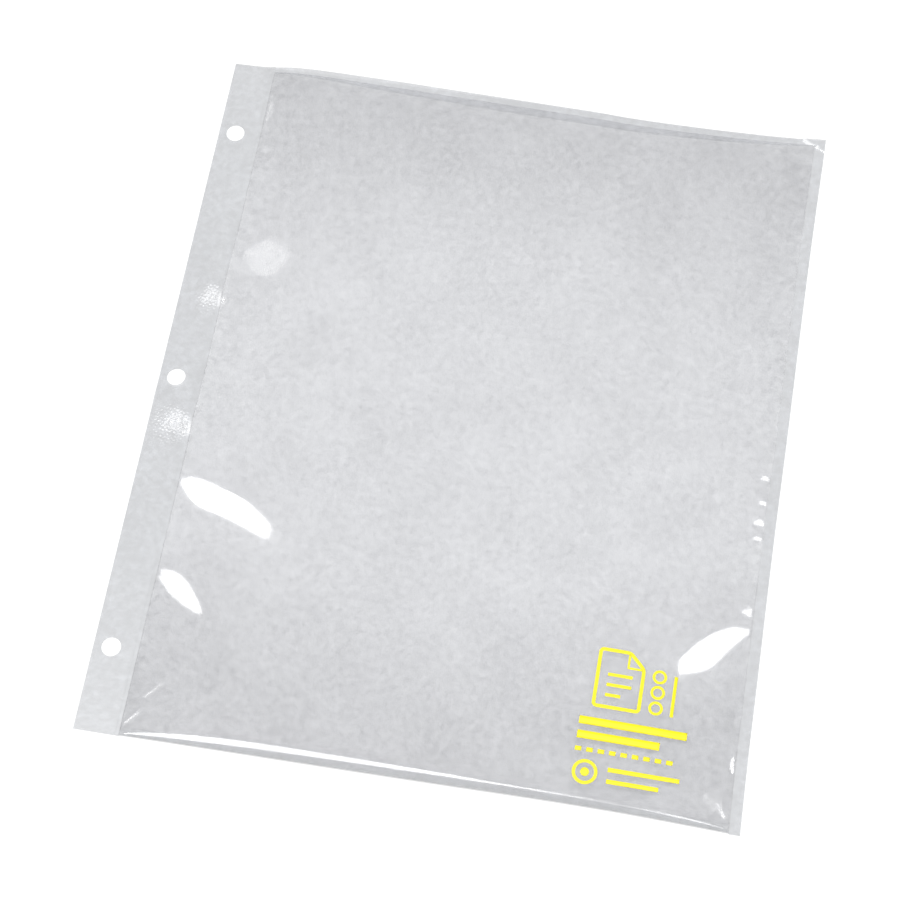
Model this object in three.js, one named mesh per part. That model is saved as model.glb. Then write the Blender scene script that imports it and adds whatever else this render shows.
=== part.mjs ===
// A document sleeve of static-dissipative clear vinyl, for ring binders.
// One sheet of film is folded across the bottom and welded down both sides into a letter-size pocket. The back
// film runs on past the left weld as a strip with three ring holes, and past the front film at the open mouth.
//
// Millimetres. +X runs across the sleeve to the right, +Y up the page to the mouth, +Z out of the front.
// The origin is the middle of the footprint, on the surface that the sleeve lies on.

import * as THREE from 'three';

// Film, and the welds that press two films into one
const filmThickness = 0.3;
const weldThickness = 0.5;

// Widths across the sleeve, left to right
const stripWidth = 15;
const leftWeldWidth = 1.6;
const pocketWidth = 216;
const rightWeldWidth = 4;

// Lengths up the page
const sleeveLength = 279.4;
const foldLength = 10;
const lipDepth = 2.6;
const lipScoop = 3.6;

// Ring holes in the strip
const holeCount = 3;
const holeDiameter = 7.1;
const holeSpacing = 107.95;
const holeInset = 6.5;

// Clear heights between the two films, and how squarely the film rises to them beside the welds: the lower a
// fullness, the squarer the shoulder
const foldRoom = 5.2;
const foldFullnessLeft = 0.5;
const foldFullnessRight = 0.35;
const mouthRoom = 5;
const mouthFullness = 0.8;
const settleLength = 48;
const halfWay = 0.5;

// The round fold draws the near edge in a little, most of all at this share of the width
const foldPullIn = 0.8;
const pullPeak = 0.76;
const pullFullness = 1.6;

// Clearances: beside the strip the film bends as a hinge, and elsewhere neighbours just stay apart
const bendGap = 0.6;
const filmGap = 0.3;

// How finely the curved films are divided
const archColumns = 30;
const panelRows = 22;
const turnSteps = 10;
const holeSteps = 12;

const pocketLeft = stripWidth + leftWeldWidth;
const pocketRight = pocketLeft + pocketWidth;
const sleeveWidth = pocketRight + rightWeldWidth;
const frontLeft = pocketLeft + filmGap / 2;
const frontRight = pocketRight - filmGap / 2;
const panelStart = foldLength + filmGap / 2;

const clearFilm = { color: 0xd3d6da, roughness: 0.22, metalness: 0 };
const weldedFilm = { color: 0xdcdfe3, roughness: 0.3, metalness: 0 };

const sleeve = new THREE.Group();
sleeve.position.set(-sleeveWidth / 2, -sleeveLength / 2, 0);

function addPiece(name, geometry, finish) {
  const piece = new THREE.Mesh(geometry, new THREE.MeshStandardMaterial(finish));
  piece.name = name;
  sleeve.add(piece);
}

// Share of the full height at a share `across` of the pocket's width, from 0 at the welds to 1 at the peak.
function arch(across, peak, fullness) {
  const skewed = Math.pow(across, Math.log(0.5) / Math.log(peak));
  return Math.pow(Math.max(Math.sin(Math.PI * skewed), 0), fullness);
}

// Clear height between the two films, `up` millimetres above the bottom of the page.
function roomBetween(across, up) {
  const settled = THREE.MathUtils.smoothstep(up, foldLength, foldLength + settleLength);
  const foldFullness = THREE.MathUtils.lerp(foldFullnessLeft, foldFullnessRight, across);
  const fullness = THREE.MathUtils.lerp(foldFullness, mouthFullness, settled);
  const room = THREE.MathUtils.lerp(foldRoom, mouthRoom, settled);
  return filmGap + (room - filmGap) * arch(across, halfWay, fullness);
}

// The front film's free edge stops short of the back film's, and draws back a little where it bows up.
function mouthEdge(across) {
  return sleeveLength - lipDepth - lipScoop * arch(across, halfWay, mouthFullness);
}

// Columns crowd towards the welds, where an arch is steepest.
function columnPlace(share) {
  return (1 - Math.cos(Math.PI * share)) / 2;
}

// A film of constant thickness about a middle surface, closed along its four edges. The surface gives a point
// and the outward direction for each pair of shares, and its two directions and the outward one are
// right-handed.
function filmShell(columns, rows, surface) {
  const positions = [];
  const indices = [];
  const stride = rows + 1;
  const layer = (columns + 1) * stride;
  for (const side of [0.5, -0.5]) {
    for (let column = 0; column <= columns; column += 1) {
      for (let row = 0; row <= rows; row += 1) {
        const { middle, outward } = surface(column / columns, row / rows);
        const point = middle.clone().addScaledVector(outward, side * filmThickness);
        positions.push(point.x, point.y, point.z);
      }
    }
  }
  const face = (a, b, c, d) => indices.push(a, b, c, a, c, d);
  for (let column = 0; column < columns; column += 1) {
    for (let row = 0; row < rows; row += 1) {
      const a = column * stride + row;
      const b = a + stride;
      face(a, b, b + 1, a + 1);
      face(layer + a, layer + a + 1, layer + b + 1, layer + b);
    }
  }
  for (let column = 0; column < columns; column += 1) {
    const first = column * stride;
    const last = first + rows;
    face(first, layer + first, layer + first + stride, first + stride);
    face(last, last + stride, layer + last + stride, layer + last);
  }
  for (let row = 0; row < rows; row += 1) {
    const first = row;
    const last = columns * stride + row;
    face(first, first + 1, layer + first + 1, layer + first);
    face(last, layer + last, layer + last + 1, last + 1);
  }
  const geometry = new THREE.BufferGeometry();
  geometry.setAttribute('position', new THREE.Float32BufferAttribute(positions, 3));
  geometry.setIndex(indices);
  geometry.computeVertexNormals();
  return geometry;
}

// A side view of the film, drawn as [up the page, height] corners, carried across from one X to another.
function carriedAcross(corners, fromX, toX) {
  const outline = new THREE.Shape(corners.map(([up, height]) => new THREE.Vector2(up, height)));
  const geometry = new THREE.ExtrudeGeometry(outline, { depth: toX - fromX, bevelEnabled: false });
  const upPage = new THREE.Vector3(0, 1, 0);
  const outOfPage = new THREE.Vector3(0, 0, 1);
  const acrossPage = new THREE.Vector3(1, 0, 0);
  geometry.applyMatrix4(new THREE.Matrix4().makeBasis(upPage, outOfPage, acrossPage));
  geometry.translate(fromX, 0, 0);
  return geometry;
}

// Binding strip: the back film beside the left weld, punched for the rings.
function bindingStrip() {
  const right = stripWidth - bendGap / 2;
  const outline = new THREE.Shape();
  outline.moveTo(0, 0).lineTo(right, 0).lineTo(right, sleeveLength).lineTo(0, sleeveLength).closePath();
  for (let hole = 0; hole < holeCount; hole += 1) {
    const up = sleeveLength / 2 + (hole - (holeCount - 1) / 2) * holeSpacing;
    outline.holes.push(new THREE.Path().absarc(holeInset, up, holeDiameter / 2, 0, 2 * Math.PI, true));
  }
  return new THREE.ExtrudeGeometry(outline, {
    depth: filmThickness,
    bevelEnabled: false,
    curveSegments: holeSteps,
  });
}

// Back panel: flat film under the pocket, from the fold to the back film's edge at the mouth.
function backPanel() {
  const corners = [[panelStart, 0], [sleeveLength, 0], [sleeveLength, filmThickness], [panelStart, filmThickness]];
  return carriedAcross(corners, frontLeft, frontRight);
}

// Weld: both films pressed into one band, and only the back film above the front film's edge.
function weldBand(fromX, toX) {
  const frontEdge = mouthEdge(0);
  const corners = [
    [0, 0],
    [sleeveLength, 0],
    [sleeveLength, filmThickness],
    [frontEdge, filmThickness],
    [frontEdge, weldThickness],
    [0, weldThickness],
  ];
  return carriedAcross(corners, fromX, toX);
}

// Front panel: the film over the pocket, bowed up between the welds and highest beside the fold.
function frontPanel() {
  return filmShell(archColumns, panelRows, (column, row) => {
    const across = columnPlace(column);
    const up = THREE.MathUtils.lerp(panelStart, mouthEdge(across), Math.pow(row, 1.4));
    const height = filmThickness + roomBetween(across, up) + filmThickness / 2;
    return {
      middle: new THREE.Vector3(THREE.MathUtils.lerp(frontLeft, frontRight, across), up, height),
      outward: new THREE.Vector3(0, 0, 1),
    };
  });
}

// Bottom fold: the same film turned back over itself in a round, springy bend that flattens into both welds.
// The surface runs from the back panel, round the near side and on to the front panel.
function bottomFold() {
  const rows = turnSteps + 2;
  return filmShell(archColumns, rows, (column, row) => {
    const across = columnPlace(column);
    const step = Math.round(row * rows);
    const radius = (roomBetween(across, 0) + filmThickness) / 2;
    const centreUp = filmThickness / 2 + radius + foldPullIn * arch(across, pullPeak, pullFullness);
    const centreHeight = filmThickness / 2 + radius;
    const turn = -Math.PI / 2 - (Math.PI * THREE.MathUtils.clamp(step - 1, 0, turnSteps)) / turnSteps;
    const outward = new THREE.Vector3(0, Math.cos(turn), Math.sin(turn));
    const straight = step === 0 || step === rows;
    const up = straight ? foldLength - filmGap / 2 : centreUp + radius * outward.y;
    return {
      middle: new THREE.Vector3(
        THREE.MathUtils.lerp(frontLeft, frontRight, across),
        up,
        centreHeight + radius * outward.z,
      ),
      outward,
    };
  });
}

addPiece('binding_strip', bindingStrip(), clearFilm);
addPiece('left_weld', weldBand(stripWidth + bendGap / 2, pocketLeft - filmGap / 2), weldedFilm);
addPiece('back_panel', backPanel(), clearFilm);
addPiece('bottom_fold', bottomFold(), clearFilm);
addPiece('front_panel', frontPanel(), clearFilm);
addPiece('right_weld', weldBand(pocketRight + filmGap / 2, sleeveWidth), weldedFilm);

export default sleeve;
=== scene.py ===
"""Looks of a clear vinyl document sleeve for ring binders, lying on its back film.

Places on the sleeve are page places: millimetres to the right of its left edge, up from its bottom edge, and
above the surface that it lies on. They become metres in the frame's own axes when a mesh is made. In the
studio all places are in metres.
"""

import logging
import math
from abc import ABC, abstractmethod
from dataclasses import dataclass
from enum import Enum

import bpy
import numpy as np
from bpy.types import ID, Material, Mesh, Node, NodeSocket, NodeTree, Object
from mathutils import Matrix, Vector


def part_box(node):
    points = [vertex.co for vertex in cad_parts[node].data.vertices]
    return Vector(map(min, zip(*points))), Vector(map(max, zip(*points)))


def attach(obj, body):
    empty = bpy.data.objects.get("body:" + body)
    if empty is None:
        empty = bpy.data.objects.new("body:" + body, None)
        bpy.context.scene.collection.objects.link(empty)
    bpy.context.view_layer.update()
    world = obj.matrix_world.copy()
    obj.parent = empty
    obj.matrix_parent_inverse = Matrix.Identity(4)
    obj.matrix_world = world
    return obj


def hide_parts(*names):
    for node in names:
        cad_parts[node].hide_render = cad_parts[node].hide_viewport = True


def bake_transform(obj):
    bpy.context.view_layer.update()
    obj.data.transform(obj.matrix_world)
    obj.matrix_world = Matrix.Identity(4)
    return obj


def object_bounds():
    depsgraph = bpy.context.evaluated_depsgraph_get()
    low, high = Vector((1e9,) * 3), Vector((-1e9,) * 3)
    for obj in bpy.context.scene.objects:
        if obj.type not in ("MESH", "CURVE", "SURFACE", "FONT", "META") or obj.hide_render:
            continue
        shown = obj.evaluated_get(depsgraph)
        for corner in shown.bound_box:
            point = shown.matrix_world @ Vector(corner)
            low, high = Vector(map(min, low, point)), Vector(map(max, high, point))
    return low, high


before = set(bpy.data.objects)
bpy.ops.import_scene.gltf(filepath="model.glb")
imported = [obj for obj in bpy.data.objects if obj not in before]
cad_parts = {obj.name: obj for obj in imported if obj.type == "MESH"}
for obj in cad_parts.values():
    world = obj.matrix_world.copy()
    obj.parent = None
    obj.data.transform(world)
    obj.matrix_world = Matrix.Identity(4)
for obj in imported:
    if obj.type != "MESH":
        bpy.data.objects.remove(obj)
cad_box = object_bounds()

MM = 0.001
SHARP_ANGLE = math.radians(40)
WHITE = "#ffffff"

Array = np.ndarray
Point = tuple[float, float]
Line = tuple[Point, ...]

log = logging.getLogger("sleeve")


@dataclass(frozen=True)
class Sizes:
    """Sizes of the sleeve in millimetres, read from the frame's solids."""

    width: float
    length: float
    strip: float
    pocket_left: float
    pocket_right: float
    film: float
    weld: float

    @classmethod
    def of_frame(cls) -> "Sizes":
        """Reads the sizes from the boxes of the frame's nodes.

        Returns:
            The sizes, with each line between two films halfway across the gap between their solids.
        """
        low, high = cad_box
        strip_low, strip_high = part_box("binding_strip")
        left_low, left_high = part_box("left_weld")
        front_low, front_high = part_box("front_panel")
        right_low, right_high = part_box("right_weld")
        return cls(
            width=(high.x - low.x) / MM,
            length=(high.y - low.y) / MM,
            strip=((strip_high.x + left_low.x) / 2 - low.x) / MM,
            pocket_left=((left_high.x + front_low.x) / 2 - low.x) / MM,
            pocket_right=((front_high.x + right_low.x) / 2 - low.x) / MM,
            film=(strip_high.z - strip_low.z) / MM,
            weld=(right_high.z - right_low.z) / MM,
        )

    def in_metres(self, points: Array) -> Array:
        """Turns page places into the frame's metres.

        Args:
            points: Page places, with X, Y and Z last.

        Returns:
            The same places in metres, from the middle of the footprint.
        """
        return (points - np.array([self.width / 2, self.length / 2, 0.0])) * MM


def smooth_step(value: Array, start: float, end: float) -> Array:
    """Runs smoothly from 0 at start to 1 at end."""
    share = np.clip((value - start) / (end - start), 0.0, 1.0)
    return share * share * (3 - 2 * share)


def smooth_line(points: Line, at: Array) -> Array:
    """Height of a smooth curve through points that run from left to right.

    Args:
        points: The curve's points, with X rising.
        at: Where to read it. Beyond its ends the curve stays level.

    Returns:
        The curve's Y at each place.
    """
    xs, ys = np.array(points, float).T
    slopes = np.gradient(ys, xs)
    at = np.clip(at, xs[0], xs[-1])
    piece = np.clip(np.searchsorted(xs, at, side="right") - 1, 0, len(xs) - 2)
    run = xs[piece + 1] - xs[piece]
    t = (at - xs[piece]) / run
    rise = ys[piece + 1] - ys[piece]
    curve = ys[piece] + rise * t * t * (3 - 2 * t)
    return curve + run * t * (1 - t) * (slopes[piece] * (1 - t) - slopes[piece + 1] * t)


def grid_lines(*stretches: tuple[float, float, float]) -> Array:
    """Grid lines through stretches that follow each other, each given as its start, end and rough step."""
    parts = [np.linspace(a, b, max(round((b - a) / step), 1) + 1)[:-1] for a, b, step in stretches]
    return np.append(np.concatenate(parts), stretches[-1][1])


@dataclass(frozen=True)
class Bow:
    """Rule for how far the front film stands off the back film, and where its edge ends.

    It is the rule that the solids follow, with a little less room in the fold.
    """

    sizes: Sizes
    fold_room: float = 4.7
    fold_fullness_left: float = 0.5
    fold_fullness_right: float = 0.3
    mouth_room: float = 5.0
    mouth_fullness: float = 0.8
    fold_length: float = 10.0
    settle_length: float = 48.0
    lip_depth: float = 2.6
    lip_scoop: float = 3.6
    pull_in: float = 0.8
    pull_peak: float = 0.76
    pull_fullness: float = 1.6

    def across(self, x: Array) -> Array:
        """Share of the pocket's width at a page X."""
        share = (x - self.sizes.pocket_left) / (self.sizes.pocket_right - self.sizes.pocket_left)
        return np.clip(share, 0.0, 1.0)

    @staticmethod
    def arch(across: Array, fullness: Array | float, peak: float = 0.5) -> Array:
        """Share of the full height, from 0 at both welds to 1 at the peak."""
        skewed = across ** (math.log(0.5) / math.log(peak))
        return np.maximum(np.sin(np.pi * skewed), 0.0) ** fullness

    def room(self, x: Array, up: Array) -> Array:
        """Clear height between the films.

        Args:
            x: Page X of the places.
            up: Page Y of the places.

        Returns:
            The height in millimetres at each place.
        """
        across = self.across(x)
        settled = smooth_step(up, self.fold_length, self.fold_length + self.settle_length)
        at_fold = self.fold_fullness_left + (self.fold_fullness_right - self.fold_fullness_left) * across
        fullness = at_fold + (self.mouth_fullness - at_fold) * settled
        return (self.fold_room + (self.mouth_room - self.fold_room) * settled) * self.arch(across, fullness)

    def mouth_edge(self, x: Array) -> Array:
        """Page Y of the front film's free edge."""
        scoop = self.lip_scoop * self.arch(self.across(x), self.mouth_fullness)
        return self.sizes.length - self.lip_depth - scoop

    def drawn_in(self, x: Array) -> Array:
        """How far the round fold draws the near edge in."""
        return self.pull_in * self.arch(self.across(x), self.pull_fullness, self.pull_peak)


def melted(sizes: Sizes, x: Array, thinnest: float = 0.08, reach: float = 0.5) -> Array:
    """Thickness of one film at a page X, down to its thinnest share where it melts into a weld."""
    edge = np.minimum(x - sizes.pocket_left, sizes.pocket_right - x)
    return sizes.film * (thinnest + (1 - thinnest) * smooth_step(edge, 0.0, reach))


class Fall(Enum):
    """How far beyond its crest, or before its foot, a crinkle comes back to the film, in millimetres."""

    MIDDLE = 22.0
    LONG = 48.0


class Bend(ABC):
    """A small bend of the film, which adds its height to the film's own."""

    @abstractmethod
    def lift(self, x: Array, y: Array) -> Array:
        """Height that the bend adds.

        Args:
            x: Page X of the places.
            y: Page Y of the places.

        Returns:
            The height at each place.
        """


@dataclass(frozen=True)
class Crinkle(Bend):
    """A leaf-shaped facet of film, which slopes up from its foot to its crest.

    Both lines run from left to right. The film keeps its height along the hinge, a straight line from end to
    end. It dips on the near side of it and rises on the far side. The slope sets in over a short way beyond
    the foot, which softens the lamp's edge there.
    """

    crest: Line
    foot: Line
    hinge: tuple[float, float]
    slope: float
    ease: tuple[float, float]
    soften: Line
    fall: Fall = Fall.LONG
    dip: Fall = Fall.MIDDLE

    def lift(self, x: Array, y: Array) -> Array:
        """Height that the crinkle adds.

        Args:
            x: Page X of the places.
            y: Page Y of the places.

        Returns:
            The height at each place.
        """
        start, end = self.crest[0][0], self.crest[-1][0]
        crest, foot = smooth_line(self.crest, x), smooth_line(self.foot, x)
        hinge = np.interp(x, (start, end), self.hinge)
        soften = smooth_line(self.soften, x)
        climb = np.clip(y - foot, 0.0, np.maximum(crest - foot, 0.0))
        climb = np.where(climb < soften, climb**2 / (2 * soften), climb - soften / 2)
        rise = self.slope * (climb - (hinge - foot - soften / 2))
        near = 1 - smooth_step(foot - y, 0.0, self.dip.value)
        far = 1 - smooth_step(y - crest, 0.0, self.fall.value)
        ends = smooth_step(x, start, start + self.ease[0]) * (1 - smooth_step(x, end - self.ease[1], end))
        return rise * near * far * ends


@dataclass(frozen=True)
class Facet(Bend):
    """A small flat spot where the film is pulled askew, which flashes when it faces a lamp.

    Its rim is uneven by lobes, each given as how many there are, their size and their turn.
    """

    place: Point
    radii: Point
    slope: Point
    flat_share: float
    uneven: float = 0.0
    rise: float = 0.0
    lobes: tuple[tuple[int, float, float], ...] = ((3, 1.0, 0.8), (5, 0.6, 2.1))

    def lift(self, x: Array, y: Array) -> Array:
        """Height that the spot adds.

        Args:
            x: Page X of the places.
            y: Page Y of the places.

        Returns:
            The height at each place.
        """
        aside, along = x - self.place[0], y - self.place[1]
        turn = np.arctan2(along / self.radii[1], aside / self.radii[0])
        bumps = self.uneven * sum(size * np.sin(count * turn + shift) for count, size, shift in self.lobes)
        reach = np.hypot(aside / self.radii[0], along / self.radii[1]) * (1 + bumps)
        tilt = self.rise + self.slope[0] * aside + self.slope[1] * along
        return tilt * (1 - smooth_step(reach, self.flat_share, 1.0))


@dataclass(frozen=True)
class Crumple(Bend):
    """A patch of fine wrinkles in the strip, which breaks a lamp's reflection up into specks.

    They are waves, each given as its heading, its pitch and its shift. So many headings make specks and not
    stripes. They never dip below the film's own height, and die out at the seam beside the pocket.
    """

    place: Point
    radii: Point
    height: float
    flat_share: float = 0.5
    seam: Point = (14.4, 15.8)
    waves: tuple[tuple[float, float, float], ...] = (
        (-0.95, 1.25, 0.0), (-0.4, 1.0, 1.3), (0.15, 1.4, 2.6), (0.6, 1.1, 4.1), (1.1, 1.3, 5.2),
    )

    def lift(self, x: Array, y: Array) -> Array:
        """Height that the wrinkles add.

        Args:
            x: Page X of the places.
            y: Page Y of the places.

        Returns:
            The height at each place.
        """
        aside, along = x - self.place[0], y - self.place[1]
        total = np.full(np.shape(x), float(len(self.waves)))
        for heading, pitch, shift in self.waves:
            way = along * math.cos(heading) + aside * math.sin(heading)
            total += np.sin(2 * math.pi * way / pitch + shift)
        reach = np.hypot(aside / self.radii[0], along / self.radii[1])
        fade = (1 - smooth_step(reach, self.flat_share, 1.0)) * (1 - smooth_step(x, *self.seam))
        return self.height * total * fade


@dataclass(frozen=True)
class CreaseLine(Bend):
    """A fine raised line that is left where the film was once bent."""

    points: Line
    height: float
    reach: float

    def lift(self, x: Array, y: Array) -> Array:
        """Height that the line adds.

        Args:
            x: Page X of the places.
            y: Page Y of the places.

        Returns:
            The height at each place.
        """
        nearest = np.full(np.shape(x), np.inf)
        for (ax, ay), (bx, by) in zip(self.points, self.points[1:]):
            run, rise = bx - ax, by - ay
            t = np.clip(((x - ax) * run + (y - ay) * rise) / (run * run + rise * rise), 0.0, 1.0)
            nearest = np.minimum(nearest, np.hypot(x - ax - t * run, y - ay - t * rise))
        return self.height * np.exp(-((nearest / self.reach) ** 2))


@dataclass(frozen=True)
class Lie:
    """How the whole sleeve, all its films together, lies on the table and lifts a little off it.

    The mouth rises in a wave at its left, and the far right corner bends up as a tip. The back film's cut
    edge wavers in by its draw, and the right side by its side draw. The strip has raised spots that crumple.
    """

    sizes: Sizes
    wave: Line = (
        (0.0, 0.0), (8.0, 0.15), (13.0, 0.5), (18.0, 1.4), (22.0, 2.3), (31.0, 3.1), (41.0, 3.15),
        (51.0, 2.9), (70.0, 2.4), (89.0, 1.6), (108.0, 0.8), (128.0, 0.15), (142.0, 0.0),
    )
    wave_start: float = 243.0
    draw: Line = (
        (120.0, 0.0), (137.0, 0.25), (147.0, 0.5), (156.0, 1.0), (166.0, 1.3), (185.0, 1.4), (195.0, 1.35),
        (204.0, 1.15), (214.0, 0.95), (224.0, 0.5), (236.6, 0.0),
    )
    side_draw: Line = (
        (0.0, 0.1), (25.0, 0.5), (58.0, 0.65), (107.0, 0.88), (155.0, 0.68), (203.0, 0.68), (236.0, 0.5),
        (253.0, 0.28), (270.0, 0.0),
    )
    side_draw_start: float = 170.0
    tip_bend: tuple[Point, Point] = ((227.4, 277.7), (236.6, 273.2))
    tip_steep: float = 0.435
    tip_steep_width: float = 1.7
    tip_slope: float = 0.1
    bends: tuple[Bend, ...] = (
        Facet((12.6, 188.5), (10.0, 21.0), (0.02, -0.06), 0.34, 0.12, 1.45),
        Facet((10.5, 132.5), (11.0, 18.0), (0.02, -0.06), 0.25, 0.14, 1.3),
        Crumple((12.5, 174.0), (9.5, 10.5), 0.023),
        Crumple((8.5, 121.0), (11.0, 10.5), 0.025),
    )

    def lift(self, x: Array, y: Array) -> Array:
        """Height of the sleeve's underside.

        Args:
            x: Page X of the places.
            y: Page Y of the places.

        Returns:
            The height at each place.
        """
        wave = smooth_line(self.wave, x) * smooth_step(y, self.wave_start, self.sizes.length)
        (ax, ay), (bx, by) = self.tip_bend
        run, rise = bx - ax, by - ay
        beyond = np.maximum(((y - ay) * run - (x - ax) * rise) / math.hypot(run, rise), 0.0)
        steep = np.minimum(beyond, self.tip_steep_width)
        tip = self.tip_steep * steep + self.tip_slope * (beyond - steep)
        return wave + np.where(x > ax, tip, 0.0) + sum(bend.lift(x, y) for bend in self.bends)

    def settle(self, middle: Array) -> Array:
        """Lifts a film's page places, and draws them in a little towards the middle of the right side.

        Args:
            middle: Page places of the film as it would lie if it were quite flat.

        Returns:
            The places as the film lies.
        """
        x, y, z = np.moveaxis(middle, -1, 0)
        drawn = smooth_line(self.side_draw, y) * smooth_step(x, self.side_draw_start, self.sizes.width)
        return np.stack([x - drawn, y, z + self.lift(x, y)], -1)

    def cut_edge(self, x: Array) -> Array:
        """Page Y of the back film's cut edge at the mouth, which wavers in a little."""
        return self.sizes.length - smooth_line(self.draw, x)


def set_inputs(tree: NodeTree, node: Node, inputs: dict[str | int, object]) -> None:
    """Sets a node's inputs.

    Args:
        tree: The node's tree.
        node: The node.
        inputs: A value, or the output socket of another node, for each input that is set.
    """
    for key, value in inputs.items():
        if isinstance(value, NodeSocket):
            tree.links.new(value, node.inputs[key])
        else:
            node.inputs[key].default_value = value


def add_node(
    tree: NodeTree, kind: str, inputs: dict[str | int, object] | None = None, **settings: object
) -> Node:
    """Adds one node to a tree.

    Args:
        tree: The tree that gets the node.
        kind: The node's type name.
        inputs: What set_inputs() takes.
        settings: The node's own settings.

    Returns:
        The new node.
    """
    made = tree.nodes.new(kind)
    for name, value in settings.items():
        setattr(made, name, value)
    set_inputs(tree, made, inputs or {})
    return made


def linear(hex_value: str) -> tuple[float, float, float, float]:
    """Turns an sRGB hex colour into the linear one that a shader takes."""
    shares = [int(hex_value[i : i + 2], 16) / 255 for i in (1, 3, 5)]
    return (*(s / 12.92 if s <= 0.04045 else ((s + 0.055) / 1.055) ** 2.4 for s in shares), 1.0)


def new_material(name: str) -> tuple[Material, NodeTree, Node]:
    """Starts a material with an empty tree.

    Args:
        name: The material's name.

    Returns:
        The material, its tree and its Principled shader, which is linked to the output.
    """
    material = bpy.data.materials.new(name)
    material.use_nodes = True
    tree = material.node_tree
    tree.nodes.clear()
    shader = add_node(tree, "ShaderNodeBsdfPrincipled")
    add_node(tree, "ShaderNodeOutputMaterial", {"Surface": shader.outputs[0]})
    return material, tree, shader


def pattern(
    tree: NodeTree, mix: NodeSocket, colours: tuple[str, str], relief: NodeSocket, depth: float
) -> dict[str, NodeSocket]:
    """Builds the nodes that mix a finish's two colours and give it its relief.

    Args:
        tree: The material's tree.
        mix: The share of the second colour.
        colours: The two colours, as sRGB hex values.
        relief: The relief's height, from 0 to 1.
        depth: The relief's depth in metres.

    Returns:
        The shader's inputs that they feed.
    """
    values = {"Factor": mix, 6: linear(colours[0]), 7: linear(colours[1])}
    colour = add_node(tree, "ShaderNodeMix", values, data_type="RGBA")
    bump = add_node(tree, "ShaderNodeBump", {"Height": relief, "Strength": 1.0, "Distance": depth})
    return {"Base Color": colour.outputs[2], "Normal": bump.outputs[0]}


class Layers(Enum):
    """Share of the light that each face of a film stops.

    The film is alone, melted to another film, or lying on another. Round the fold it stops a little more, as
    painted shade.
    """

    ALONE = 0.285
    WELDED = 0.28
    STACKED = 0.19
    # Painted shade: the round of the fold stops more light, so that it looks darker.
    PAINTED_FOLD_SHADE = 0.21


@dataclass(frozen=True)
class CalenderedVinyl:
    """Plasticised PVC film, rolled between polished calender rolls.

    Clear and glossy, with a cloudy, fibrous haze from the static-dissipative coating. The rolls leave a fine
    orange peel, so that a lamp's reflection is soft and a little broken up at its rim. The share of light
    haze may fall off from the middle of the pocket to its rim, which half_size gives in metres; where it
    does, that is painted shade, darker towards the mouth and the fold. The gloss level makes up for the
    alpha, which thins out the gloss too.
    """

    name: str
    layers: Layers
    haze_dark: str = "#505461"
    haze_light: str = "#eff1f6"
    # Haze share in the middle of the pocket and at its rim; a lower share at the rim is painted shade.
    haze_share_and_painted_rim_shade: tuple[float, float] = (0.44, 0.17)
    contrast: float = 1.6
    cloud_mm: float = 24.0
    cloud_detail: float = 4.0
    fibre_mm: float = 2.6
    fibre_detail: float = 6.0
    fibre_roughness: float = 0.7
    fibre_twist: float = 0.5
    fibre_share: float = 0.8
    half_size: tuple[float, float] = (0.3, 0.14)
    painted_shade_start: float = 0.35
    painted_shade_end: float = 1.05
    peel_mm: float = 1.1
    peel_detail: float = 2.0
    peel_depth: float = 1.4e-5
    roughness: float = 0.13
    ior: float = 1.53
    gloss: float = 1.0
    soft_gloss: float = 0.6
    soft_roughness: float = 0.34

    def haze(self, tree: NodeTree, place: NodeSocket) -> NodeSocket:
        """Builds the nodes of the haze, with its painted shade towards the rim.

        Args:
            tree: The material's tree.
            place: The place on the object.

        Returns:
            The share of light haze at the place, with the painted rim shade in it.
        """
        cloud = add_node(
            tree,
            "ShaderNodeTexNoise",
            {"Vector": place, "Scale": 1 / (self.cloud_mm * MM), "Detail": self.cloud_detail},
        )
        fibre = add_node(
            tree,
            "ShaderNodeTexNoise",
            {
                "Vector": place,
                "Scale": 1 / (self.fibre_mm * MM),
                "Detail": self.fibre_detail,
                "Roughness": self.fibre_roughness,
                "Distortion": self.fibre_twist,
            },
        )
        mixed = {"Factor": self.fibre_share, 2: cloud.outputs["Fac"], 3: fibre.outputs["Fac"]}
        blend = add_node(tree, "ShaderNodeMix", mixed, data_type="FLOAT")
        spread_out = {0: blend.outputs[0], 1: self.contrast, 2: -self.contrast / 2}
        spread = add_node(tree, "ShaderNodeMath", spread_out, operation="MULTIPLY_ADD")
        to_rim = (1 / self.half_size[0], 1 / self.half_size[1], 0.0)
        share = add_node(tree, "ShaderNodeVectorMath", {0: place, 1: to_rim}, operation="MULTIPLY")
        away = add_node(tree, "ShaderNodeVectorMath", {0: share.outputs[0]}, operation="LENGTH")
        # Painted shade: the haze gets darker from the middle of the pocket towards its rim.
        rim = add_node(
            tree,
            "ShaderNodeMapRange",
            {
                "Value": away.outputs["Value"],
                "From Min": self.painted_shade_start,
                "From Max": self.painted_shade_end,
                "To Min": self.haze_share_and_painted_rim_shade[0],
                "To Max": self.haze_share_and_painted_rim_shade[1],
            },
            interpolation_type="SMOOTHSTEP",
        )
        parts = {0: spread.outputs[0], 1: rim.outputs[0]}
        return add_node(tree, "ShaderNodeMath", parts, operation="ADD", use_clamp=True).outputs[0]

    def build(self) -> Material:
        """Makes the material.

        Returns:
            The new material.
        """
        material, tree, shader = new_material(self.name)
        place = add_node(tree, "ShaderNodeTexCoord").outputs["Object"]
        haze = self.haze(tree, place)
        peel = add_node(
            tree,
            "ShaderNodeTexNoise",
            {"Vector": place, "Scale": 1 / (self.peel_mm * MM), "Detail": self.peel_detail},
        )
        colours = (self.haze_dark, self.haze_light)
        finish = pattern(tree, haze, colours, peel.outputs["Fac"], self.peel_depth) | {
            "Roughness": self.roughness,
            "IOR": self.ior,
            "Specular IOR Level": self.gloss,
            "Coat Weight": self.soft_gloss,
            "Coat Roughness": self.soft_roughness,
            "Alpha": self.layers.value,
        }
        set_inputs(tree, shader, finish)
        return material


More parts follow.
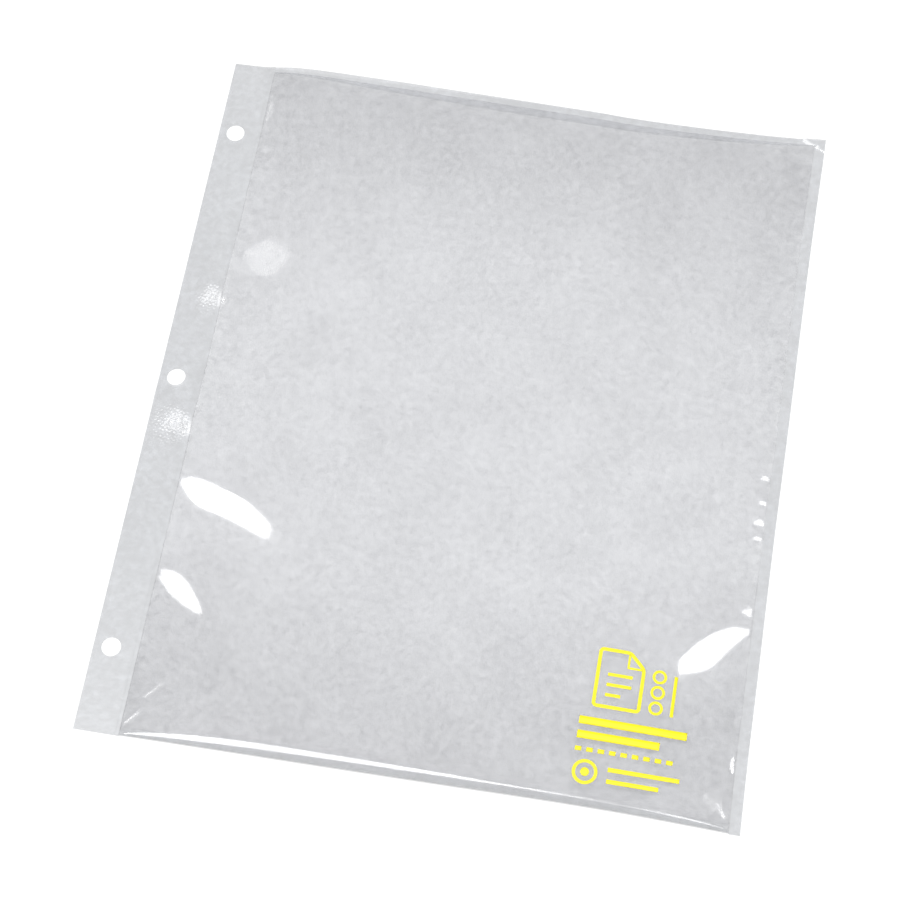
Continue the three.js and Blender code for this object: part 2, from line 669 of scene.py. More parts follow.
@dataclass(frozen=True)
class ScreenInk:
    """Opaque vinyl ink, screen printed: a flat, slightly grainy satin coat with crisp edges."""

    name: str = "screen_printed_ink"
    colour: str = "#fff000"
    thin_colour: str = "#f8ec18"
    grain_mm: float = 0.7
    grain_detail: float = 3.0
    grain_depth: float = 6e-6
    roughness: float = 0.45

    def build(self) -> Material:
        """Makes the material.

        Returns:
            The new material.
        """
        material, tree, shader = new_material(self.name)
        place = add_node(tree, "ShaderNodeTexCoord").outputs["Object"]
        grain = add_node(
            tree,
            "ShaderNodeTexNoise",
            {"Vector": place, "Scale": 1 / (self.grain_mm * MM), "Detail": self.grain_detail},
        )
        colours, grey = (self.thin_colour, self.colour), grain.outputs["Fac"]
        finish = pattern(tree, grey, colours, grey, self.grain_depth) | {"Roughness": self.roughness}
        set_inputs(tree, shader, finish)
        return material


def new_object(name: str, data: ID) -> Object:
    """Makes an object and puts it in the scene.

    Args:
        name: The object's name.
        data: Its mesh, lamp or camera.

    Returns:
        The new object.
    """
    made = bpy.data.objects.new(name, data)
    bpy.context.scene.collection.objects.link(made)
    return made


def shade_smooth(mesh: Mesh) -> None:
    """Shades a mesh smooth, but for its sharp edges."""
    mesh.polygons.foreach_set("use_smooth", np.ones(len(mesh.polygons), bool))
    mesh.set_sharp_from_angle(angle=SHARP_ANGLE)


def shell(name: str, sizes: Sizes, middle: Array, thickness: Array | float) -> Object:
    """Makes a closed film about a middle surface.

    Args:
        name: The piece's name.
        sizes: The sleeve's sizes.
        middle: Page places of the middle surface, as rows up the film of columns across it. The outer face is
            the top one where the columns run to the right and the rows run up the page.
        thickness: The film's thickness in millimetres, one value or one for each place.

    Returns:
        The new object, smooth but for its cut edges.
    """
    rows, columns = middle.shape[:2]
    outward = np.cross(np.gradient(middle, axis=1), np.gradient(middle, axis=0))
    outward /= np.linalg.norm(outward, axis=-1, keepdims=True)
    half = outward * (np.broadcast_to(thickness, (rows, columns))[..., None] / 2)
    points = np.concatenate([(middle + half).reshape(-1, 3), (middle - half).reshape(-1, 3)])
    index = np.arange(rows * columns).reshape(rows, columns)
    a, b, c, d = (index[:-1, :-1], index[:-1, 1:], index[1:, 1:], index[1:, :-1])
    outer = np.stack([a, b, c, d], -1).reshape(-1, 4)
    under = rows * columns
    rim = np.concatenate([index[0, :], index[1:, -1], index[-1, -2::-1], index[-2:0:-1, 0]])
    ahead = np.roll(rim, -1)
    walls = np.stack([rim, rim + under, ahead + under, ahead], -1)
    faces = np.concatenate([outer, outer[:, ::-1] + under, walls])
    mesh = bpy.data.meshes.new(name)
    mesh.from_pydata(sizes.in_metres(points).tolist(), [], faces.tolist())
    shade_smooth(mesh)
    return new_object(name, mesh)


def dress(film: Object, middle: Array, finishes: tuple[Material, Material], second: slice) -> None:
    """Dresses a film in one finish, and some of its rows in another.

    Args:
        film: A film that shell() made.
        middle: The middle surface that it was made about.
        finishes: The film's main finish, and the other one.
        second: The rows of faces that have the other finish.
    """
    for finish in finishes:
        film.data.materials.append(finish)
    rows, columns = middle.shape[:2]
    index = np.zeros((rows - 1, columns - 1), int)
    index[second] = 1
    walls = np.zeros(len(film.data.polygons) - 2 * index.size, int)
    film.data.polygons.foreach_set("material_index", np.concatenate([index.ravel(), index.ravel(), walls]))


def from_nodes(host: Object, tree: NodeTree, values: dict[str, object]) -> None:
    """Runs a node tree on an object and keeps its result as the object's plain mesh.

    Args:
        host: The object that the tree works on.
        tree: The geometry node tree.
        values: A value for each named input of the tree.
    """
    modifier = host.modifiers.new(tree.name, "NODES")
    modifier.node_group = tree
    sockets = {item.name: item.identifier for item in tree.interface.items_tree if item.in_out == "INPUT"}
    for name, value in values.items():
        modifier[sockets[name]] = value
    bpy.context.view_layer.update()
    evaluated = host.evaluated_get(bpy.context.evaluated_depsgraph_get())
    result = bpy.data.meshes.new_from_object(evaluated)
    host.modifiers.remove(modifier)
    host.data = result


def new_tree(name: str, inputs: dict[str, str]) -> tuple[NodeTree, Node]:
    """Starts a geometry node tree with named inputs.

    Args:
        name: The tree's name.
        inputs: The kind of each named input, such as Float.

    Returns:
        The tree and its Group Input node.
    """
    tree = bpy.data.node_groups.new(name, "GeometryNodeTree")
    tree.interface.new_socket("Geometry", in_out="INPUT", socket_type="NodeSocketGeometry")
    for label, kind in inputs.items():
        tree.interface.new_socket(label, in_out="INPUT", socket_type=f"NodeSocket{kind}")
    tree.interface.new_socket("Geometry", in_out="OUTPUT", socket_type="NodeSocketGeometry")
    return tree, add_node(tree, "NodeGroupInput")


def close_tree(tree: NodeTree, geometry: NodeSocket, material: NodeSocket) -> None:
    """Ends a geometry node tree in Realize Instances and Set Material.

    Args:
        tree: The tree.
        geometry: What the tree has made.
        material: The finish that it gets.
    """
    real = add_node(tree, "GeometryNodeRealizeInstances", {"Geometry": geometry})
    dressed = add_node(tree, "GeometryNodeSetMaterial", {"Geometry": real.outputs[0], "Material": material})
    add_node(tree, "NodeGroupOutput", {"Geometry": dressed.outputs[0]})


@dataclass(frozen=True)
class FrontFilm:
    """The film over the pocket and its round fold, one sheet from under the near edge up to the mouth.

    The fold turns from the table up to a narrow face, which leans back a little and ends in a crest. Beyond
    it the film follows the bow and its own bends.
    """

    sizes: Sizes
    bow: Bow
    lie: Lie
    tuck_start: float = 3.6
    tuck_gap: float = 0.2
    turn_steps: int = 14
    face_lean: float = math.radians(5.6)
    face_width: Line = (
        (16.6, 0.05), (20.0, 0.5), (29.0, 1.3), (46.0, 2.1), (64.0, 2.2), (81.0, 2.0), (100.0, 1.65),
        (116.0, 1.4), (133.0, 1.1), (152.0, 0.6), (166.0, 0.45), (190.0, 0.38), (222.0, 0.42), (232.6, 0.05),
    )
    face_shares: tuple[float, ...] = (0.07, 0.36, 0.64, 0.93)
    crest_height: float = 0.32
    crest_fullness: float = 0.5
    crest_reach: float = 3.5
    fold_blend: float = 8.0
    mouth_blend: float = 16.0
    crinkles_start: float = 3.0
    weld_hold: Point = (-0.3, 0.9)
    bends: tuple[Bend, ...] = (
        Crinkle(
            crest=(
                (15.0, 99.6), (20.0, 101.0), (25.0, 100.6), (34.0, 97.8),
                (42.6, 94.6), (50.0, 90.0), (64.0, 77.0),
            ),
            foot=(
                (15.0, 98.4), (18.0, 95.0), (22.0, 90.4), (25.8, 87.8),
                (34.0, 85.0), (42.0, 81.6), (64.0, 69.0),
            ),
            hinge=(98.0, 79.0),
            slope=0.189,
            ease=(1.0, 13.0),
            soften=((15.0, 0.8), (26.0, 1.8), (40.0, 3.0), (64.0, 8.0)),
        ),
        Crinkle(
            crest=((15.2, 63.2), (18.0, 64.2), (22.0, 64.0), (26.8, 62.0), (32.0, 57.0), (39.0, 47.4)),
            foot=((15.2, 61.8), (18.0, 58.2), (22.0, 54.0), (28.0, 49.6), (39.0, 44.6)),
            hinge=(62.0, 49.0),
            slope=0.15,
            ease=(1.0, 3.0),
            soften=((15.0, 0.8), (36.0, 2.2)),
            fall=Fall.MIDDLE,
        ),
        Crinkle(
            crest=((205.0, 55.6), (209.0, 61.0), (214.0, 66.8), (218.0, 70.4), (224.0, 74.0), (236.0, 75.4)),
            foot=(
                (205.0, 49.4), (211.0, 51.6), (216.0, 53.8), (220.0, 56.6),
                (226.0, 64.4), (231.0, 70.2), (236.0, 73.6),
            ),
            hinge=(57.0, 70.0),
            slope=0.161,
            ease=(4.0, 1.0),
            soften=((205.0, 4.0), (218.0, 2.4), (236.0, 1.2)),
            fall=Fall.MIDDLE,
        ),
        Facet((18.3, 259.0), (2.6, 14.0), (-0.15, -0.077), 0.6),
        Facet((18.2, 105.4), (2.2, 2.0), (0.0, 0.2), 0.7),
        Facet((18.2, 75.5), (2.2, 2.2), (0.0, 0.17), 0.7),
        Facet((29.5, 193.0), (21.0, 27.0), (-0.005, -0.078), 0.2, 0.09),
        Facet((230.2, 80.6), (3.8, 4.0), (0.0, 0.225), 0.6, 0.2),
        Facet((230.4, 133.0), (3.6, 2.6), (0.0, 0.24), 0.7, 0.1),
        Facet((230.6, 123.6), (3.0, 2.4), (0.0, 0.23), 0.7, 0.1),
        Facet((230.4, 115.6), (3.6, 3.0), (0.0, 0.222), 0.7, 0.1),
        Facet((230.6, 109.4), (3.0, 2.6), (0.0, 0.215), 0.7, 0.1),
        Facet((231.4, 24.3), (1.7, 5.0), (0.2, 0.173), 0.7),
        Facet((226.8, 10.0), (4.4, 7.4), (0.05, 0.058), 0.6, 0.2),
        CreaseLine(((15.5, -1.0), (17.1, 4.9), (21.5, 10.1), (21.5, 14.7), (27.4, 21.1)), 0.21, 1.05),
        CreaseLine(((54.8, 49.5), (50.5, 43.0), (39.0, 36.5)), 0.03, 0.7),
        CreaseLine(((112.6, 214.0), (115.0, 215.4), (117.2, 215.2)), 0.04, 0.7),
        CreaseLine(((229.6, 15.4), (229.0, 10.5), (230.4, 5.8)), 0.2, 0.7),
    )

    def features(self, x: Array, y: Array) -> Array:
        """Height that crinkles, puckers and creases add, held down at the welds.

        Args:
            x: Page X of the places.
            y: Page Y of the places.

        Returns:
            The height at each place.
        """
        edge = np.minimum(x - self.sizes.pocket_left, self.sizes.pocket_right - x)
        return sum(bend.lift(x, y) for bend in self.bends) * smooth_step(edge, *self.weld_hold)

    def rows(self) -> Array:
        """Page Y of the panel's grid lines, closest together where the film crinkles."""
        edge = self.sizes.length - self.bow.lip_depth
        return grid_lines(
            (4.6, 24.0, 0.5), (24.0, 108.0, 0.85), (108.0, 138.0, 1.0), (138.0, 168.0, 3.0),
            (168.0, 216.0, 1.5), (216.0, 262.0, 3.0), (262.0, edge, 1.2),
        )

    def columns(self) -> Array:
        """Page X of the grid lines, closest together beside the welds."""
        left, right = self.sizes.pocket_left, self.sizes.pocket_right
        return grid_lines(
            (left, left + 1.2, 0.2), (left + 1.2, 30.0, 0.5), (30.0, 60.0, 0.8), (60.0, 206.0, 2.5),
            (206.0, right - 1.5, 0.7), (right - 1.5, right, 0.2),
        )

    def surface(self) -> Array:
        """Lays out the film from under the fold, round it and up to the mouth.

        Returns:
            Page places of the middle of the film, as shell() takes them.
        """
        x = self.columns()
        film = self.sizes.film
        below = 1.5 * film  # the back film and half of this one
        width = smooth_line(self.face_width, x)
        ridge = self.crest_height * self.bow.arch(self.bow.across(x), self.crest_fullness)
        flat_top = below + self.bow.room(x, np.zeros_like(x)) + ridge
        lean = self.face_lean
        radius = (flat_top - film / 2 - width * math.sin(lean)) / (1 + math.cos(lean))
        centre_up = film / 2 + radius + self.bow.drawn_in(x)
        crest_up = centre_up - radius * math.sin(lean) + width * math.cos(lean)
        tuck = np.maximum(self.tuck_start, centre_up + self.tuck_gap)
        rings = [np.stack([x, tuck, np.full_like(x, film / 2)], -1)]
        for turn in np.linspace(math.pi, lean, self.turn_steps + 1):
            up = centre_up - radius * math.sin(turn)
            rings.append(np.stack([x, up, film / 2 + radius * (1 + math.cos(turn))], -1))
        foot = rings[-1]
        for share in self.face_shares:
            along = share * width
            rings.append(foot + np.stack([0 * x, along * math.cos(lean), along * math.sin(lean)], -1))
        first, last = self.rows()[0], self.rows()[-1]
        edge = self.bow.mouth_edge(x) + self.lie.cut_edge(x) - self.sizes.length
        for line in self.rows():
            start_share = 1 - smooth_step(line, first, first + self.fold_blend)
            end_share = smooth_step(line, last - self.mouth_blend, last)
            up = line + (crest_up - first) * start_share + (edge - last) * end_share
            behind = np.maximum(up - crest_up, 0.0) / self.crest_reach
            height = below + self.bow.room(x, up) + ridge * np.exp(-behind)
            grown = smooth_step(line, first, first + self.crinkles_start)
            rings.append(np.stack([x, up, height + self.features(x, up) * grown], -1))
        return self.lie.settle(np.array(rings))

    def make(self, stacked: Material, painted_fold_shade: Material) -> Object:
        """Makes the film and fastens it to the pocket.

        Args:
            stacked: The finish of a film that lies on another.
            painted_fold_shade: The finish of the round part of the fold, a darker copy of the film's finish
                that paints shade there.

        Returns:
            The film.
        """
        surface = self.surface()
        made = shell("front_film", self.sizes, surface, melted(self.sizes, self.columns()))
        dress(made, surface, (stacked, painted_fold_shade), slice(self.turn_steps + 1))
        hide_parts("front_panel", "bottom_fold")
        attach(made, "pocket")
        return made


@dataclass(frozen=True)
class BackFilm:
    """The flat film under the pocket, which shows alone in the lip beyond the front film."""

    sizes: Sizes
    bow: Bow
    lie: Lie
    start: float = 3.6
    lip_rows: int = 8

    def columns(self) -> Array:
        """Page X of the grid lines, closest together beside the welds."""
        left, right = self.sizes.pocket_left, self.sizes.pocket_right
        return grid_lines(
            (left, left + 0.6, 0.15), (left + 0.6, 20.0, 0.5), (20.0, 40.0, 1.5), (40.0, 210.0, 4.0),
            (210.0, 226.0, 2.0), (226.0, right - 0.6, 0.4), (right - 0.6, right, 0.15),
        )

    def surface(self) -> Array:
        """Lays out the film, with one row along the front film's edge.

        Returns:
            Page places of the middle of the film, as shell() takes them.
        """
        x = self.columns()
        edge = self.bow.mouth_edge(x) + self.lie.cut_edge(x) - self.sizes.length
        share = grid_lines((0.0, 0.6, 0.05), (0.6, 0.9, 0.03), (0.9, 1.0, 0.01))
        under = [self.start + (edge - self.start) * s for s in share]
        beyond = [edge + (self.lie.cut_edge(x) - edge) * s for s in np.linspace(0, 1, self.lip_rows + 1)[1:]]
        up = np.array(under + beyond)
        across = np.broadcast_to(x, up.shape)
        return self.lie.settle(np.stack([across, up, np.full_like(up, self.sizes.film / 2)], -1))

    def make(self, stacked: Material, alone: Material) -> Object:
        """Makes the film and fastens it to the pocket.

        Args:
            stacked: The finish of a film that lies under another.
            alone: The finish of the lip, which is a single film.

        Returns:
            The film.
        """
        surface = self.surface()
        made = shell("back_film", self.sizes, surface, melted(self.sizes, self.columns()))
        dress(made, surface, (stacked, alone), slice(-self.lip_rows, None))
        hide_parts("back_panel")
        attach(made, "pocket")
        return made


@dataclass(frozen=True)
class StripFilm:
    """The binding strip, with its ring holes, and the left weld beside it."""

    sizes: Sizes
    lie: Lie
    hole_count: int = 3
    hole_diameter: float = 7.1
    hole_pitch: float = 107.95
    hole_inset: float = 6.5
    hole_sides: int = 56
    punch_depth: float = 20.0
    weld_ramp: float = 0.35
    weld_thinned: float = 0.85
    thinned_reach: float = 0.3
    bend_half_width: float = 0.9

    def surface(self) -> tuple[Array, Array]:
        """Lays out the film, with its grid lines closest together at the weld and where the strip crumples.

        Returns:
            Page places of the middle of the film, as shell() takes them, and its thickness there.
        """
        seam, right = self.sizes.strip, self.sizes.pocket_left
        x = grid_lines((0.0, seam - 1, 0.28), (seam - 1, right, 0.15))
        y = grid_lines(
            (0.0, 110.0, 2.5), (110.0, 132.0, 0.28), (132.0, 162.0, 2.0), (162.0, 186.0, 0.28),
            (186.0, 250.0, 2.5), (250.0, self.sizes.length, 1.2),
        )
        across, up = np.meshgrid(x, y)
        weld = smooth_step(across, seam, seam + self.weld_ramp)
        thickness = self.sizes.film + (self.sizes.weld - self.sizes.film) * weld
        thinned = self.weld_thinned * smooth_step(across, right - self.thinned_reach, right)
        thickness = thickness * (1 - thinned)
        return self.lie.settle(np.stack([across, up, thickness / 2], -1)), thickness

    def punch(self) -> NodeTree:
        """Builds the node tree that punches the row of ring holes.

        Returns:
            The tree.
        """
        tree, given = new_tree(
            "punch_ring_holes",
            {
                "Hole Count": "Int",
                "First Hole": "Vector",
                "Hole Pitch": "Vector",
                "Hole Diameter": "Float",
                "Hole Sides": "Int",
                "Punch Depth": "Float",
                "Finish": "Material",
            },
        )
        row = add_node(
            tree,
            "GeometryNodeMeshLine",
            {
                "Count": given.outputs["Hole Count"],
                "Start Location": given.outputs["First Hole"],
                "Offset": given.outputs["Hole Pitch"],
            },
            mode="OFFSET",
        )
        half = {0: given.outputs["Hole Diameter"], 1: 0.5}
        radius = add_node(tree, "ShaderNodeMath", half, operation="MULTIPLY")
        pin = add_node(
            tree,
            "GeometryNodeMeshCylinder",
            {
                "Vertices": given.outputs["Hole Sides"],
                "Radius": radius.outputs[0],
                "Depth": given.outputs["Punch Depth"],
            },
        )
        pins = add_node(
            tree, "GeometryNodeInstanceOnPoints", {"Points": row.outputs[0], "Instance": pin.outputs[0]}
        )
        real = add_node(tree, "GeometryNodeRealizeInstances", {"Geometry": pins.outputs[0]})
        # The fast solver can lose a whole hole on a grid as fine as this one
        cut = add_node(
            tree,
            "GeometryNodeMeshBoolean",
            {"Mesh 1": given.outputs["Geometry"], "Mesh 2": real.outputs[0]},
            operation="DIFFERENCE",
            solver="EXACT",
        )
        close_tree(tree, cut.outputs[0], given.outputs["Finish"])
        return tree

    def make(self, material: Material) -> Object:
        """Makes the film and punches its ring holes.

        Args:
            material: The finish of a single film.

        Returns:
            The film.
        """
        middle, thickness = self.surface()
        made = shell("strip_film", self.sizes, middle, thickness)
        first_up = self.sizes.length / 2 - self.hole_pitch * (self.hole_count - 1) / 2
        first = self.sizes.in_metres(np.array([self.hole_inset, first_up, 0.0]))
        from_nodes(
            made,
            self.punch(),
            {
                "Hole Count": self.hole_count,
                "First Hole": first.tolist(),
                "Hole Pitch": (0.0, self.hole_pitch * MM, 0.0),
                "Hole Diameter": self.hole_diameter * MM,
                "Hole Sides": self.hole_sides,
                "Punch Depth": self.punch_depth * MM,
                "Finish": material,
            },
        )
        shade_smooth(made.data)
        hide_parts("binding_strip", "left_weld")
        seam, reach = self.sizes.strip, self.bend_half_width
        start, end = self.sizes.in_metres(np.array([[seam - reach, 0.0, 0.0], [seam + reach, 0.0, 0.0]]))
        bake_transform(made)
        return made


@dataclass(frozen=True)
class RightWeld:
    """The wide band that melts both films together down the right edge.

    Above the front film's edge, where it steps down, it is the back film alone.
    """

    sizes: Sizes
    bow: Bow
    lie: Lie
    step_length: float = 0.3

    def make(self, material: Material) -> Object:
        """Makes the band and fastens it to the pocket.

        Args:
            material: The finish of two films melted together.

        Returns:
            The band.
        """
        front_edge = self.sizes.length - self.bow.lip_depth
        step_start = front_edge - self.step_length
        x = grid_lines((self.sizes.pocket_right, self.sizes.width, 0.4))
        y = grid_lines(
            (0.0, 262.0, 2.5), (262.0, step_start, 0.8), (step_start, front_edge, self.step_length),
            (front_edge, self.sizes.length, 0.4),
        )
        across, up = np.meshgrid(x, y)
        up = np.minimum(up, self.lie.cut_edge(across))
        films = 1 - smooth_step(up, step_start, front_edge)
        thickness = self.sizes.film + (self.sizes.weld - self.sizes.film) * films
        middle = self.lie.settle(np.stack([across, up, thickness / 2], -1))
        made = shell("right_weld_band", self.sizes, middle, thickness)
        made.data.materials.append(material)
        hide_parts("right_weld")
        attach(made, "pocket")
        return made


@dataclass(frozen=True)
class Stroke:
    """One line of a print: its page places, half its width, and whether it closes on itself."""

    points: list[Point]
    half_width: float
    closed: bool = False


@dataclass(frozen=True)
class PrintedMark:
    """A plain yellow mark in the lower right corner.

    It shows a sheet with a folded corner, a punched strip, bars, a row of dashes, and a ring with a dot.
    """

    sizes: Sizes
    corner_radius: float = 1.2
    corner_points: int = 6
    ring_points: int = 48
    nib_points: int = 4
    step: float = 0.5
    ink_thickness: float = 0.03
    lift: float = 0.01
    drop_height: float = 100.0
    joining_distance: float = 0.001

    def rounded(self, corners: Line) -> list[Point]:
        """Rounds the corners of a closed outline.

        Args:
            corners: The outline's corners.

        Returns:
            The points of the rounded outline.
        """
        count = len(corners)
        points = []
        for i, corner in enumerate(corners):
            here = np.array(corner)
            ways = [np.array(corners[(i + side) % count]) - here for side in (-1, 1)]
            start, end = (here + self.corner_radius * way / np.linalg.norm(way) for way in ways)
            for t in np.linspace(0, 1, self.corner_points):
                point = start * (1 - t) ** 2 + 2 * here * t * (1 - t) + end * t * t
                points.append((float(point[0]), float(point[1])))
        return points

    def ring(self, centre: Point, radius: float) -> list[Point]:
        """Points round a circle."""
        turns = np.linspace(0, 2 * math.pi, self.ring_points, endpoint=False)
        return [(centre[0] + radius * math.cos(t), centre[1] + radius * math.sin(t)) for t in turns]

    @staticmethod
    def ruled(left: float, half_width: float, *lines: Point) -> list[Stroke]:
        """Level strokes that start at the same page X, each given as its page Y and where it ends."""
        return [Stroke([(left, up), (end, up)], half_width) for up, end in lines]

    def strokes(self) -> list[Stroke]:
        """Lists the mark's strokes, from the sheet at its top to the two lines at its bottom.

        Returns:
            The strokes.
        """
        sheet = ((180.0, 37.0), (196.0, 37.0), (196.0, 52.6), (190.6, 58.0), (180.0, 58.0))
        folded_corner = [(190.4, 57.6), (190.4, 52.4), (195.6, 52.4)]
        dot_centre = (180.6, 12.6)
        return [
            Stroke(self.rounded(sheet), 0.65, closed=True),
            Stroke(folded_corner, 0.4),
            *self.ruled(183.6, 0.6, (49.0, 192.4), (45.2, 192.4), (41.4, 189.0)),
            Stroke([(207.6, 37.2), (207.6, 52.4)], 0.6),
            *(Stroke(self.ring((201.8, up), 2.1), 0.5, closed=True) for up in (39.4, 45.2, 51.0)),
            *self.ruled(176.0, 1.45, (31.0, 214.0), (25.8, 205.0)),
            *(Stroke([(left, 20.6), (left + 2.3, 20.6)], 0.8) for left in np.arange(176.0, 212.0, 4.0)),
            Stroke(self.ring(dot_centre, 3.9), 0.6, closed=True),
            Stroke(self.ring(dot_centre, 0.8), 0.8, closed=True),
            *self.ruled(188.4, 0.8, (14.6, 213.4), (10.4, 206.6)),
        ]

    def lay_on_film(self) -> NodeTree:
        """Builds the node tree that turns the strokes into ink that follows the film's surface.

        Returns:
            The tree.
        """
        tree, given = new_tree(
            "ink_on_film",
            {
                "Film": "Object",
                "Step": "Float",
                "Lift": "Float",
                "Ink Thickness": "Float",
                "Finish": "Material",
            },
        )
        curve = add_node(tree, "GeometryNodeMeshToCurve", {"Mesh": given.outputs["Geometry"]})
        half_width = add_node(
            tree, "GeometryNodeInputNamedAttribute", {"Name": "half_width"}, data_type="FLOAT"
        )
        fine = add_node(
            tree,
            "GeometryNodeResampleCurve",
            {"Curve": curve.outputs[0], "Length": given.outputs["Step"]},
            mode="LENGTH",
        )
        line = add_node(
            tree, "GeometryNodeCurvePrimitiveLine", {"Start": (-1.0, 0.0, 0.0), "End": (1.0, 0.0, 0.0)}
        )
        nib = add_node(
            tree,
            "GeometryNodeResampleCurve",
            {"Curve": line.outputs[0], "Count": self.nib_points},
            mode="COUNT",
        )
        ribbon = add_node(
            tree,
            "GeometryNodeCurveToMesh",
            {"Curve": fine.outputs[0], "Profile Curve": nib.outputs[0], "Scale": half_width.outputs[0]},
        )
        film = add_node(tree, "GeometryNodeObjectInfo", {"Object": given.outputs["Film"]})
        place = add_node(tree, "GeometryNodeInputPosition")
        height = self.drop_height * MM
        above = add_node(
            tree, "ShaderNodeVectorMath", {0: place.outputs[0], 1: (0.0, 0.0, height)}, operation="ADD"
        )
        hit = add_node(
            tree,
            "GeometryNodeRaycast",
            {
                "Target Geometry": film.outputs["Geometry"],
                "Source Position": above.outputs[0],
                "Ray Direction": (0.0, 0.0, -1.0),
                "Ray Length": 2 * height,
            },
        )
        up = add_node(tree, "ShaderNodeCombineXYZ", {"Z": given.outputs["Lift"]})
        laid = add_node(
            tree,
            "GeometryNodeSetPosition",
            {"Geometry": ribbon.outputs[0], "Position": hit.outputs["Hit Position"], "Offset": up.outputs[0]},
        )
        top = add_node(
            tree,
            "GeometryNodeExtrudeMesh",
            {"Mesh": laid.outputs[0], "Offset Scale": given.outputs["Ink Thickness"], "Individual": False},
            mode="FACES",
        )
        under = add_node(tree, "GeometryNodeFlipFaces", {"Mesh": laid.outputs[0]})
        joined = add_node(tree, "GeometryNodeJoinGeometry", {"Geometry": under.outputs[0]})
        tree.links.new(top.outputs["Mesh"], joined.inputs["Geometry"])
        closed = add_node(
            tree,
            "GeometryNodeMergeByDistance",
            {"Geometry": joined.outputs[0], "Distance": self.joining_distance * MM},
        )
        close_tree(tree, closed.outputs[0], given.outputs["Finish"])
        return tree

    def make(self, film: Object, material: Material) -> Object:
        """Makes the mark on the front film and fastens it to the pocket.

        Args:
            film: The front film.
            material: The ink.

        Returns:
            The mark.
        """
        points, edges, half_widths = [], [], []
        for stroke in self.strokes():
            first, count = len(points), len(stroke.points)
            points += [(x, y, 0.0) for x, y in stroke.points]
            half_widths += [stroke.half_width * MM] * count
            edges += [(first + i, first + i + 1) for i in range(count - 1)]
            if stroke.closed:
                edges.append((first + count - 1, first))
        mesh = bpy.data.meshes.new("printed_mark")
        mesh.from_pydata(self.sizes.in_metres(np.array(points)).tolist(), edges, [])
        mesh.attributes.new("half_width", "FLOAT", "POINT").data.foreach_set("value", half_widths)
        made = new_object("printed_mark", mesh)
        from_nodes(
            made,
            self.lay_on_film(),
            {
                "Film": film,
                "Step": self.step * MM,
                "Lift": self.lift * MM,
                "Ink Thickness": self.ink_thickness * MM,
                "Finish": material,
            },
        )
        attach(made, "pocket")
        return made


@dataclass(frozen=True)
class Softbox:
    """A rectangular lamp that faces straight down, with its sizes in metres and its power in watts."""

    name: str
    centre: tuple[float, float, float]
    size: tuple[float, float]
    power: float

    def make(self) -> None:
        """Hangs the lamp."""
        lamp = bpy.data.lights.new(self.name, "AREA")
        lamp.shape = "RECTANGLE"
        lamp.size, lamp.size_y = self.size
        lamp.energy = self.power
        new_object(self.name, lamp).location = self.centre


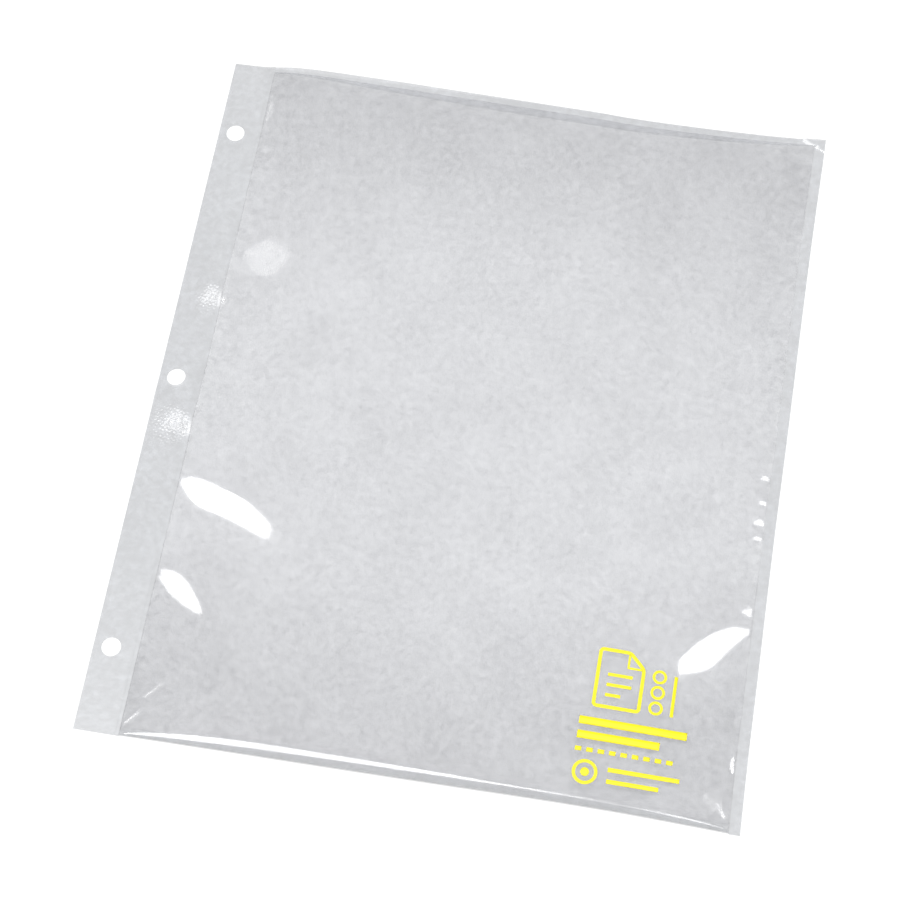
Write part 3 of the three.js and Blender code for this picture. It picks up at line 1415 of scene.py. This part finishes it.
@dataclass(frozen=True)
class Studio:
    """A white table under two long softboxes and one small one, and the camera above its near edge.

    The table top lies a little below the sleeve, by its drop in millimetres. The camera's turn is in degrees.
    """

    softboxes: tuple[Softbox, ...] = (
        Softbox("left_softbox", (-0.425, -0.06, 1.2), (1.05, 0.14), 10.5),
        Softbox("right_softbox", (0.545, -0.06, 1.2), (0.69, 0.14), 6.4),
        Softbox("far_softbox", (-0.562, 0.95, 1.2), (0.12, 0.12), 0.42),
    )
    room_light: float = 0.44
    floor_size: float = 12.0
    floor_drop: float = 0.2
    floor_glow: float = 0.85
    floor_colour: str = "#8c8c8c"
    camera_place: tuple[float, float, float] = (0.0722, -0.3316, 0.7621)
    camera_turn: tuple[float, float, float] = (23.216, 1.639, 9.770)
    camera_lens: float = 89.53

    @staticmethod
    def seen_ray(tree: NodeTree) -> NodeSocket:
        """Finds the rays that show a backdrop, which are camera, mirror and glass rays.

        Args:
            tree: The tree that gets the nodes.

        Returns:
            A share that is 1 for such a ray and 0 for any other.
        """
        ray = add_node(tree, "ShaderNodeLightPath")
        seen = ray.outputs["Is Camera Ray"]
        for kind in ("Is Glossy Ray", "Is Transmission Ray"):
            either = add_node(tree, "ShaderNodeMath", {0: seen, 1: ray.outputs[kind]}, operation="MAXIMUM")
            seen = either.outputs[0]
        return seen

    def lay_floor(self) -> None:
        """Lays the white table top, which keeps the sleeve's shadow."""
        half = self.floor_size / 2
        corners = [(-half, -half), (half, -half), (half, half), (-half, half)]
        mesh = bpy.data.meshes.new("table_top")
        mesh.from_pydata([(x, y, -self.floor_drop * MM) for x, y in corners], [], [(0, 1, 2, 3)])
        material, tree, shader = new_material("white_table")
        seen = {0: self.seen_ray(tree), 1: self.floor_glow}
        glow = add_node(tree, "ShaderNodeMath", seen, operation="MULTIPLY")
        finish = {
            "Base Color": linear(self.floor_colour),
            "Roughness": 1.0,
            "Specular IOR Level": 0.0,
            "Emission Color": linear(WHITE),
            "Emission Strength": glow.outputs[0],
        }
        set_inputs(tree, shader, finish)
        mesh.materials.append(material)
        floor = new_object("table_top", mesh)

    def light_room(self) -> None:
        """Sets the even light of the room, which looks white behind the sleeve."""
        world = bpy.data.worlds.new("studio")
        world.use_nodes = True
        tree = world.node_tree
        tree.nodes.clear()
        seen = {"Value": self.seen_ray(tree), "To Min": self.room_light, "To Max": 1.0}
        light = {"Strength": add_node(tree, "ShaderNodeMapRange", seen).outputs[0], "Color": linear(WHITE)}
        back = add_node(tree, "ShaderNodeBackground", light)
        add_node(tree, "ShaderNodeOutputWorld", {"Surface": back.outputs[0]})
        bpy.context.scene.world = world

    def place_camera(self) -> None:
        """Sets the camera up where the photograph was taken from."""
        lens = bpy.data.cameras.new("camera")
        lens.lens = self.camera_lens
        camera = new_object("camera", lens)
        camera.location = self.camera_place
        camera.rotation_euler = [math.radians(turn) for turn in self.camera_turn]
        bpy.context.scene.camera = camera

    def make(self) -> None:
        """Sets up the table, the lamps, the room's light and the camera."""
        self.place_camera()
        self.lay_floor()
        self.light_room()
        for softbox in self.softboxes:
            softbox.make()
        bpy.context.scene.view_settings.view_transform = "Standard"


def main() -> None:
    """Builds the sleeve's films, weld and mark on the frame, and the studio round them."""
    logging.basicConfig(level=logging.INFO, format="%(name)s: %(message)s")
    Studio().make()
    sizes = Sizes.of_frame()
    bow, lie = Bow(sizes), Lie(sizes)
    stacked = CalenderedVinyl("vinyl_film_stacked", Layers.STACKED).build()
    greys = {"haze_dark": "#5f656f", "haze_light": "#bcc2cc", "contrast": 2.3}
    alone = CalenderedVinyl(
        "vinyl_film_alone",
        Layers.ALONE,
        haze_share_and_painted_rim_shade=(0.14, 0.14),
        peel_depth=3.5e-5,
        roughness=0.27,
        **greys,
    ).build()
    welded = CalenderedVinyl("vinyl_weld", Layers.WELDED, haze_share_and_painted_rim_shade=(0.2, 0.2), **greys).build()
    # Painted shade: a darker, duller copy of the film's finish for the round of the fold.
    greys |= {"haze_dark": "#6f737b", "haze_light": "#adb2ba"}
    painted_fold_shade = CalenderedVinyl("vinyl_film_painted_fold_shade", Layers.PAINTED_FOLD_SHADE, haze_share_and_painted_rim_shade=(0.3, 0.3), **greys).build()
    front = FrontFilm(sizes, bow, lie).make(stacked, painted_fold_shade)
    pieces = [
        front,
        BackFilm(sizes, bow, lie).make(stacked, alone),
        StripFilm(sizes, lie).make(alone),
        RightWeld(sizes, bow, lie).make(welded),
        PrintedMark(sizes).make(front, ScreenInk().build()),
    ]
    for piece in pieces:
        log.info("%s: %d faces", piece.name, len(piece.data.polygons))


if __name__ == "__main__":
    main()
